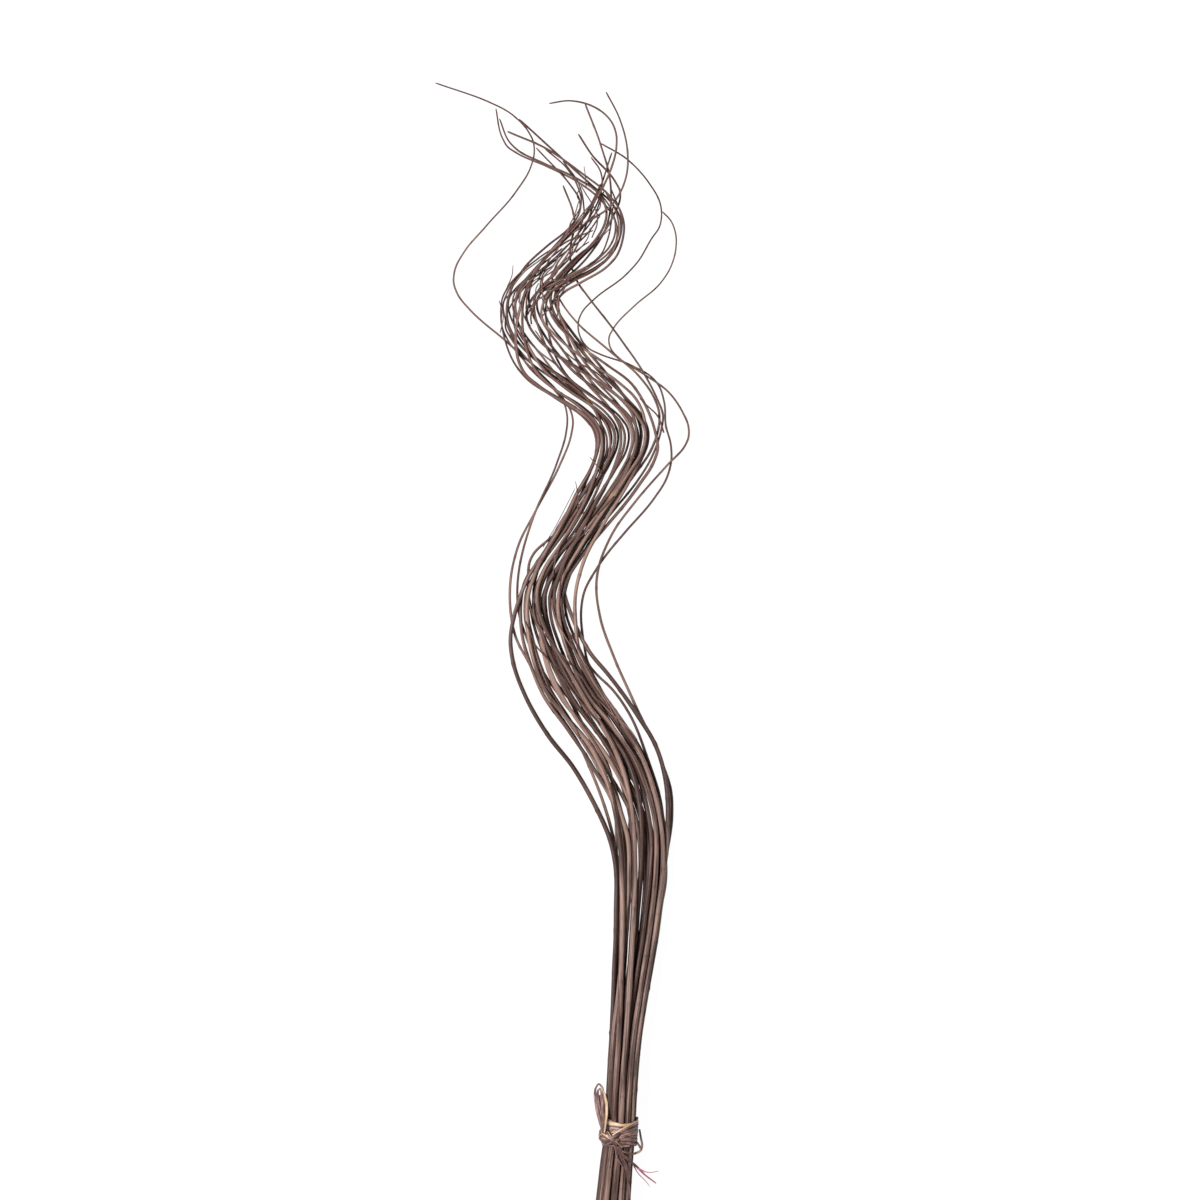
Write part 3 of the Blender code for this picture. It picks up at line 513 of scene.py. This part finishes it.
lying = np.vstack(lying)
ringed = np.linspace(0, 2 * math.pi, SHOOT_SIDES + 1) - math.pi / 2
shoots = bmesh.new()
shoots.loops.layers.uv.new("strip")
for number, (points, tip_half, root_half) in enumerate(SHOOTS):
    chance = random.Random(number)
    flat = np.array([(*at_photo(*point), 0.0, 0.0) for point in points[::-1]])
    path, run = smooth_run(flat, SHOOT_STEP)
    path = path[:, :3]
    half = np.interp(run, (0, run[-1]), (root_half, tip_half)) / 1000
    rest = np.array([over_twigs(*spot[:2], h) for spot, h in zip(path, half)])
    known = ~np.isnan(rest)
    rest = np.interp(run, run[known], rest[known])
    path[:, 2] = along(along(rest, np.max), np.mean)
    fork = lying[np.hypot(lying[:, 0] - path[0, 0], lying[:, 1] - path[0, 1]).argsort()[:3]]
    rise = np.clip(run / FORK_LENGTH, 0, 1)
    path[:, 2] = fork[:, 2].max() * (1 - rise) + path[:, 2] * rise
    half *= np.clip((run[-1] - run) / SHOOT_TIP, 0, 1) ** 0.5 * 0.3 + 0.7
    girth = half[:, None] * (1 + 0.08 * drifting(chance, run, SWELL_STEP)[:, None])
    sweep(shoots, path, np.array([0.0, 0.0, 1.0]), girth * np.cos(ringed), girth * np.sin(ringed),
          {"shift": 120 + number * 1.3, "thin": np.full((1, 1), chance.uniform(0.3, 0.95)),
           "tone": np.full((1, 1), chance.uniform(-1, 1))})
finished("side_shoots", shoots, (bark.material,), "dyed_bark")


# The turns of the tie. A long strip of split raffia palm, dyed with the twigs, goes round the bundle in a
# flat winding and then in turns that fan out from the knot. The dye missed some edges, which stay straw.
STRAND_SIDES = 18
STRAND_STEP = 0.0010
WIDTH_SPACING, FOLD_SPACING, PLEAT_SPACING, PHASE_SPACING = 0.008, 0.015, 0.012, 0.02
STRIPE_SPACING, STRENGTH_SPACING = 0.012, 0.01
RAFFIA_DEEP = (0.045, 0.020, 0.018)
RAFFIA_MID = (0.145, 0.068, 0.058)
RAFFIA_PALE = (0.43, 0.275, 0.235)
RAFFIA_STRAW = (0.48, 0.305, 0.165)
RAFFIA_CREAM = (0.62, 0.465, 0.320)
RAFFIA_PINK = (0.36, 0.075, 0.16)

raffia = Finish("dyed_raffia")
strip_place = raffia.node("ShaderNodeUVMap", {"uv_map": "strip"}, {})
turn = raffia.node("ShaderNodeSeparateXYZ", {}, {0: strip_place}) * (2 * math.pi)
run_mark = raffia.mark("run")
across = turn.math("SINE", turn)
upper = turn.math("COSINE", turn)
cord_fibre = raffia.noise(raffia.point(across * 1.2, upper * 0.5, run_mark * 30.0), 3.0, 3.0, 0.6)
fine_fibre = raffia.noise(raffia.point(across * 6.0, upper, run_mark * 130.0), 4.5, 2.0, 0.6)
blotch = raffia.noise(raffia.point(across * 0.6, upper * 0.6, run_mark * 110.0), 1.3, 2.0, 0.5)
skin = raffia.mix(cord_fibre.between(0.38, 0.52), RAFFIA_DEEP, RAFFIA_MID)
skin = raffia.mix((cord_fibre * 0.7 + blotch * 0.3).between(0.50, 0.62) * 0.85, skin, RAFFIA_PALE)
# painted shade: each strip is darkened along both of its edges, standing in for the dark lines of shade
# between neighbouring turns
skin = raffia.mix(across.math("ABSOLUTE", across).between(0.75, 0.98) * 0.85, skin, RAFFIA_DEEP)
skin = raffia.mix(raffia.mark("deep"), skin, RAFFIA_DEEP)
straw_mark = (raffia.mark("straw") * (0.45 + fine_fibre * 1.1)).between(0.32, 0.62)
skin = raffia.mix(straw_mark, skin, raffia.mix(blotch.between(0.40, 0.65), RAFFIA_STRAW, RAFFIA_CREAM))
skin = raffia.mix(raffia.mark("pink"), skin, RAFFIA_PINK)
skin = raffia.mix(fine_fibre.between(0.56, 0.72) * 0.35, skin, RAFFIA_DEEP)
raffia_bump = raffia.node("ShaderNodeBump", {}, {"Strength": 0.6, "Distance": 0.0003,
                                                 "Height": cord_fibre * 0.6 + fine_fibre * 0.4})
raffia.dress(Base_Color=skin, Roughness=0.62 - cord_fibre * 0.2, Normal=raffia_bump,
             Specular_IOR_Level=0.4)

rim = np.linspace(0, 2 * math.pi, STRAND_SIDES + 1) - math.pi / 2
loom = random.Random("raffia")


def strand(body, knots, facing=(0.0, 0.0, 1.0), depth=0.00028, straw=None, pink=(0.0, 0.0), ends=(1.0, 1.0),
           deep=0.0):
    """A split raffia strip through knots of x, y, z and half width. Straw is where across the strip, how
    wide and how strong its undyed stripe is, pink the tint of its first and second half, deep how much more
    dye it took, and ends are the shares of its width that its ends keep."""
    knots = np.array(knots, float)
    path, run = smooth_run(knots, STRAND_STEP)
    share = run / run[-1]
    width = path[:, 3] * (1 + 0.10 * drifting(loom, run, WIDTH_SPACING))
    width = width * np.interp(share, (0, 0.12, 0.88, 1), (ends[0], 1, 1, ends[1]))
    fold = 0.20 * drifting(loom, run, FOLD_SPACING)[:, None]
    pleat = 0.09 + 0.05 * drifting(loom, run, PLEAT_SPACING)[:, None]
    phase = 2.0 * drifting(loom, run, PHASE_SPACING)[:, None]
    reach = np.cos(rim)[None]
    sideways = width[:, None] * reach
    upward = (np.minimum(depth, width * 0.8)[:, None] * np.sin(rim)
              + width[:, None] * (fold * (np.abs(reach) - 0.5)
                                  + pleat * np.cos(6.5 * reach + phase) * (1 - reach ** 2) * 0.6))
    stripe = np.zeros((1, 1))
    if straw:
        middle, spread, strength = straw
        middle = middle + 0.15 * drifting(loom, run, STRIPE_SPACING)[:, None]
        strength = strength * (0.85 + 0.25 * drifting(loom, run, STRENGTH_SPACING)[:, None])
        stripe = strength * np.exp(-((reach - middle) / spread) ** 2)
    facing = np.array(facing)
    if facing.ndim == 2:
        places = np.linspace(0, 1, len(facing))
        facing = np.stack([np.interp(share, places, column) for column in facing.T], axis=1)
    sweep(body, path[:, :3], facing, sideways, upward,
          {"shift": loom.uniform(0, 9), "straw": stripe, "pink": np.interp(share, (0.45, 0.7), pink)[:, None],
           "deep": np.full((1, 1), deep)})


band = np.array([v.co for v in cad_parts["raffia_wraps"].data.vertices])
band_rows = sorted(set(np.round(band[:, 1], 4)))
tie_y = band_rows[1]
tie_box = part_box("raffia_wraps")
tie_x, tie_z = (tie_box[0].x + tie_box[1].x) / 2, (tie_box[0].z + tie_box[1].z) / 2
ALL_ROUND = np.linspace(-math.pi, math.pi, 361)
UNROLLED_RADIUS, WINDING_STEP = 0.018, 0.004
LOWEST_RAFFIA = 0.0009


def taut_reach(corners):
    """How far a band pulled taut round these corners stands from the tie's middle, in every direction."""
    normals = np.stack((np.cos(ALL_ROUND), np.sin(ALL_ROUND)))
    support = (corners @ normals).max(axis=0)
    facing = np.cos(ALL_ROUND[:, None] - ALL_ROUND[None])
    return np.where(facing > 0.05, support / np.maximum(facing, 0.05), np.inf).min(axis=1)


reaches = np.array([taut_reach(band[np.abs(band[:, 1] - row) < 0.001][:, [0, 2]] - (tie_x, tie_z))
                    for row in band_rows])


def on_tie(angle, y, lift):
    """A place on the outside of the tie, from its angle (0 right, a quarter turn up), y and lift."""
    turned = (angle + math.pi) % (2 * math.pi) - math.pi
    place = np.clip(np.interp(y, band_rows, (0, 1, 2)), 0, 1.999)
    k = int(place)
    low, high = (np.interp(turned, ALL_ROUND, reaches[row]) for row in (k, k + 1))
    reach = low + (high - low) * (place - k) + lift
    return tie_x + reach * math.cos(angle), y, max(tie_z + reach * math.sin(angle), LOWEST_RAFFIA)


def wound(body, stations, **kinds):
    """A turn of raffia through stations of angle in degrees, y and lift in millimetres, and half width."""
    unrolled = np.array([(math.radians(a) * UNROLLED_RADIUS, y / 1000, 0.0, lift / 1000, half / 1000)
                         for a, y, lift, half in stations])
    rows, run = smooth_run(unrolled, WINDING_STEP)
    angles = rows[:, 0] / UNROLLED_RADIUS
    knots = [(*on_tie(a, tie_y + y, lift), half) for a, y, lift, half in
             zip(angles, rows[:, 1], rows[:, 3], rows[:, 4])]
    outward = np.stack((np.cos(angles), 0 * angles, np.sin(angles)), axis=1)
    strand(body, knots, facing=outward, **kinds)


turns = bmesh.new()
turns.loops.layers.uv.new("strip")
# the flat winding underneath
wound(turns, [(100 - 45 * k, 8.6 - 0.49 * k, -1.25 + 0.02 * (k % 3), 2.3) for k in range(0, 42)])
# the turns that fan out from the knot to the right edge and come back behind
for right, left, lift, half in ((4.8, 1.0, -0.35, 1.9), (0.8, -1.0, -0.15, 2.0), (-3.4, -3.0, -0.35, 1.8),
                                (-7.6, -5.2, -0.1, 1.9), (-11.8, -7.5, -0.3, 1.7)):
    wound(turns, ((122, -5.5, 1.2, 1.4), (104, -4.8 + right * 0.15, 0.5, 1.9),
                  (70, right * 0.62 - 1.6, lift, half), (25, right, lift, half),
                  (-30, right * 0.9, lift, half), (-100, right * 0.7, lift, half),
                  (-170, left, lift, half), (-215, left - 0.8, 0.1, 2.0), (-238, -5.0, 1.2, 1.4)),
          depth=0.0006, straw=(loom.uniform(-0.8, 0.8), 0.22, 0.38))
# the ribbon along the top, with straw down its middle
wound(turns, ((196, 9.0, 0.0, 1.8), (165, 12.0, 0.1, 3.0), (140, 12.0, 0.2, 3.3), (112, 10.2, 0.2, 2.8),
              (86, 8.6, 0.1, 2.1), (62, 8.9, 0.0, 1.7), (36, 11.0, 0.0, 1.7), (5, 12.6, 0.0, 2.0),
              (-60, 11.5, -0.3, 2.2), (-130, 10.5, -0.3, 2.2), (-190, 8.0, -0.2, 2.0),
              (-212, 5.0, -0.2, 1.6)),
      straw=(-0.1, 0.62, 0.98))
# the ribbon that crosses over it on the way up from the knot
wound(turns, ((120, -4.4, 1.8, 1.2), (104, -1.6, 1.0, 1.6), (84, 3.2, 0.7, 2.0), (62, 7.2, 0.6, 2.1),
              (38, 10.2, 0.5, 2.2), (10, 10.0, 0.3, 2.3), (-40, 7.0, 0.1, 2.2), (-110, 3.0, 0.0, 2.2),
              (-175, 0.0, 0.0, 2.2), (-215, -2.6, 0.4, 1.8), (-240, -4.6, 1.6, 1.4)),
      straw=(-0.60, 0.30, 1.10))
finished("raffia_turns", turns, (raffia.material,), "dyed_raffia", "raffia_wraps")


# The knot. The strip is pulled under its own turns on the upper left of the tie and jammed there, so the
# knot is a small hard lump of folded strip, with one pale loop bulging out on its left.
def over_tie(px, py, lift, half):
    """A knot point seen at px, py in the picture, lift millimetres over the rounded top of the tie."""
    x, y = at_photo(px, py)
    beside = min(abs((x - tie_x) / (tie_box[1].x - tie_x)), 1.0)
    top = tie_z + (tie_box[1].z - tie_z) * math.sqrt(1 - beside ** 2)
    return x, y, top + lift / 1000, half / 1000


knot = bmesh.new()
knot.loops.layers.uv.new("strip")
for stations, half, depth, straw, deep in (
        (((612, 1139, 3.2), (608, 1135, 3.8), (603, 1130.5, 3.4), (600.2, 1131.5, 2.4), (600, 1135, 1.4),
          (602.5, 1139, 1.2), (607, 1141, 1.2)), 1.3, 0.5, (0.2, 0.5, 0.5), 0.0),
        (((601.6, 1130.2, 4.6), (603.4, 1131.8, 5.6), (606.4, 1133.6, 6.2), (609.5, 1136.4, 5.8)), 1.3, 0.5,
         (0.1, 0.9, 1.3), 0.0),
        (((613, 1138, 2.0), (607, 1137.5, 2.6), (602, 1136.5, 2.2), (600.6, 1138.5, 1.2), (604, 1141, 1.0)),
         1.2, 0.5, (-0.5, 0.3, 0.7), 0.0),
        (((608, 1134, 2.2), (603.5, 1133.2, 3.2), (600.4, 1134.8, 2.4), (599.4, 1137.6, 1.2),
          (601.6, 1140.4, 0.6)), 0.9, 0.4, (0.4, 0.3, 0.9), 0.0),
        (((603, 1126, 2.6), (605.5, 1130, 4.2), (609.5, 1134.8, 5.0), (613.5, 1139, 4.4), (617, 1143, 2.2)),
         2.2, 0.8, None, 0.6),
        (((602, 1140, 1.0), (606, 1139.5, 2.6), (611, 1137, 4.4), (615.5, 1133.8, 3.4), (620, 1131, 1.0)),
         2.0, 0.7, None, 0.7),
        (((607.5, 1142, 0.8), (611, 1140.5, 2.6), (615, 1138.5, 3.4), (619, 1137, 1.6)), 1.8, 0.7, None, 0.5),
        (((607.5, 1129, 4.0), (609.5, 1132, 5.6), (611.5, 1134.5, 6.0), (613.5, 1136, 5.2)), 0.5, 0.3,
         (0.0, 0.6, 0.75), 0.0),
        (((615, 1138.2, 5.4), (617, 1140, 5.0), (619.5, 1142.5, 3.4), (622.5, 1146, 1.6)), 0.5, 0.3,
         (0.0, 0.5, 0.8), 0.0)):
    strand(knot, [over_tie(*station, half) for station in stations], depth=depth / 1000, straw=straw,
           ends=(0.6, 0.6), deep=deep)
finished("tie_knot", knot, (raffia.material,), "dyed_raffia", "raffia_knot")


# The bow loop. Two strips go up from the knot, fold over together and come back down, and three single ones
# lie on them. They lean out along the left edge of the bundle, with small gaps between them near the fold,
# and an undyed straw strip runs down the right side.
bow_middles, _ = rings_of("raffia_folded_loop")
bow_order = np.argsort(bow_middles[:, 1])
bow = bmesh.new()
bow.loops.layers.uv.new("strip")
for stations, lift, straw in (
        (((603.5, 1131, 1.6), (599.8, 1119, 1.7), (596.6, 1106, 1.7), (595.2, 1095, 1.5), (596.0, 1087, 1.1),
          (598.8, 1083.4, 0.9), (601.6, 1086, 0.9), (603.6, 1093, 1.2), (604.6, 1104, 1.6),
          (604.4, 1118, 1.4), (604.2, 1130, 1.3)), 0.5, None),
        (((603.8, 1131, 1.4), (601.2, 1119, 1.6), (598.8, 1106, 1.7), (597.8, 1096, 1.4),
          (598.6, 1089.5, 0.9), (600.0, 1087.5, 0.7), (601.0, 1091, 0.8), (601.8, 1099, 1.3),
          (602.6, 1110, 1.5), (603.4, 1121, 1.3), (604.0, 1130, 1.2)), 1.3, None),
        (((604.2, 1131, 0.9), (605.4, 1121, 1.3), (606.3, 1109, 1.8), (605.8, 1099, 1.5),
          (603.4, 1090.5, 0.9), (601.4, 1086, 0.7)), 2.2, (0.25, 0.75, 1.1)),
        (((602.4, 1131, 0.9), (599.4, 1117, 1.0), (597.4, 1105, 1.0), (596.9, 1096, 0.8), (597.6, 1089, 0.6)),
         1.9, (0.5, 0.3, 0.4)),
        (((603.6, 1131, 1.3), (601.0, 1115, 1.5), (599.6, 1102, 1.3), (599.8, 1094, 0.7)), 0.0, None)):
    knots = []
    for px, py, half in stations:
        x, y = at_photo(px, py)
        z = np.interp(y, bow_middles[bow_order, 1], bow_middles[bow_order, 2])
        knots.append((x, y, z + lift / 1000, half / 1000))
    strand(bow, knots, depth=0.00035, straw=straw, ends=(0.9, 0.8))
finished("bow_loop", bow, (raffia.material,), "dyed_raffia", "raffia_folded_loop")


# The loose ends. A thin strip loops out on the right and back under the knot, and the ends below it split
# into finer strips, some of them only lightly dyed and pinkish.
for name, node, depth, fuller, straw, pink, ends in (
        ("side_loop", "raffia_side_loop", 0.35, 1.25, (0.2, 0.5, 0.5), (0.0, 0.0), (0.8, 0.8)),
        ("tail_long", "raffia_tail_long", 0.35, 1.5, None, (0.0, 0.0), (1.0, 0.3)),
        ("tail_short", "raffia_tail_short", 0.35, 1.6, None, (0.0, 0.0), (1.0, 0.3)),
        ("tail_right", "raffia_tail_right", 0.40, 1.0, None, (0.0, 0.6), (1.0, 0.8)),
        ("tail_pink", "raffia_tail_pink", 0.30, 1.0, None, (0.85, 0.85), (1.0, 0.5)),
        ("tail_pale", "raffia_tail_pale", 0.25, 1.0, None, (0.2, 0.6), (1.0, 0.3))):
    middles, reaches_across = rings_of(node)
    loose = bmesh.new()
    loose.loops.layers.uv.new("strip")
    away = np.linalg.norm(middles[:, :2] - (tie_x, tie_y), axis=1)
    order = 1 if away[0] < away[-1] else -1
    knots = np.column_stack((middles, reaches_across * fuller))[::order]
    if name == "tail_right":
        stem = knots
    elif name in ("tail_pink", "tail_pale"):
        split = np.linalg.norm(stem[:, :2] - knots[0, :2], axis=1).argmin()
        knots = np.vstack((stem[split - 1], knots[1:]))
    if name in ("tail_long", "tail_short", "tail_right"):
        knots = np.vstack((over_tie(613, 1139, 2.0, knots[0, 3] * 1000), knots))
        beside = knots[:round(len(knots) * 0.75)].copy()
        beside[:, 0] += np.linspace(0.0024, 0.0003, len(beside))
        beside[:, 2:] *= (0.98, 0.8)
        strand(loose, beside, depth=depth / 1000, deep=0.2, ends=(0.8, 0.3))
    strand(loose, knots, depth=depth / 1000, straw=straw, pink=pink, ends=ends, deep=0.35)
    if name == "side_loop":
        strand(loose, [(*at_photo(px, py), tie_z + 0.004, 0.0011) for px, py in
                       ((633.5, 1137.5), (636.5, 1141.5), (639.5, 1145.5), (641.2, 1149))], depth=0.0004,
               ends=(0.7, 0.5))
    finished(name, loose, (raffia.material,), "dyed_raffia", node)
